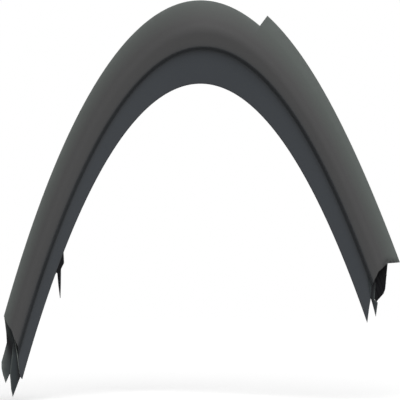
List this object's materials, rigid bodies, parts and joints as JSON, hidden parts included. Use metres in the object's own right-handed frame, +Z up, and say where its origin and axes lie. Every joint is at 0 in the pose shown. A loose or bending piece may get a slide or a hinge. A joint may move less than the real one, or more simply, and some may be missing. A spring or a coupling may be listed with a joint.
{
  "type": "wheel arch trim",
  "caption": "Arched plastic trim that covers the edge of a wheel opening, with a tilted face, a step in its outer edge, a set-back inner band, and clip seats and screw bosses behind.",
  "frame": {"origin": "mouth of the screw boss at the crown, half way across the inner band and below the middle of the outer edge, on the plane of the body side", "axes": "+Y points into the body side, +Z up towards the crown, +X to the right when the face is seen from outside the car"},
  "size_m": [0.7792, 0.0588, 0.7754],
  "materials": {
    "charcoal_plastic": "fine moulded grain, matt"
  },
  "bodies": {
    "root": {"arch_trim": "charcoal_plastic"}
  },
  "joints": []
}
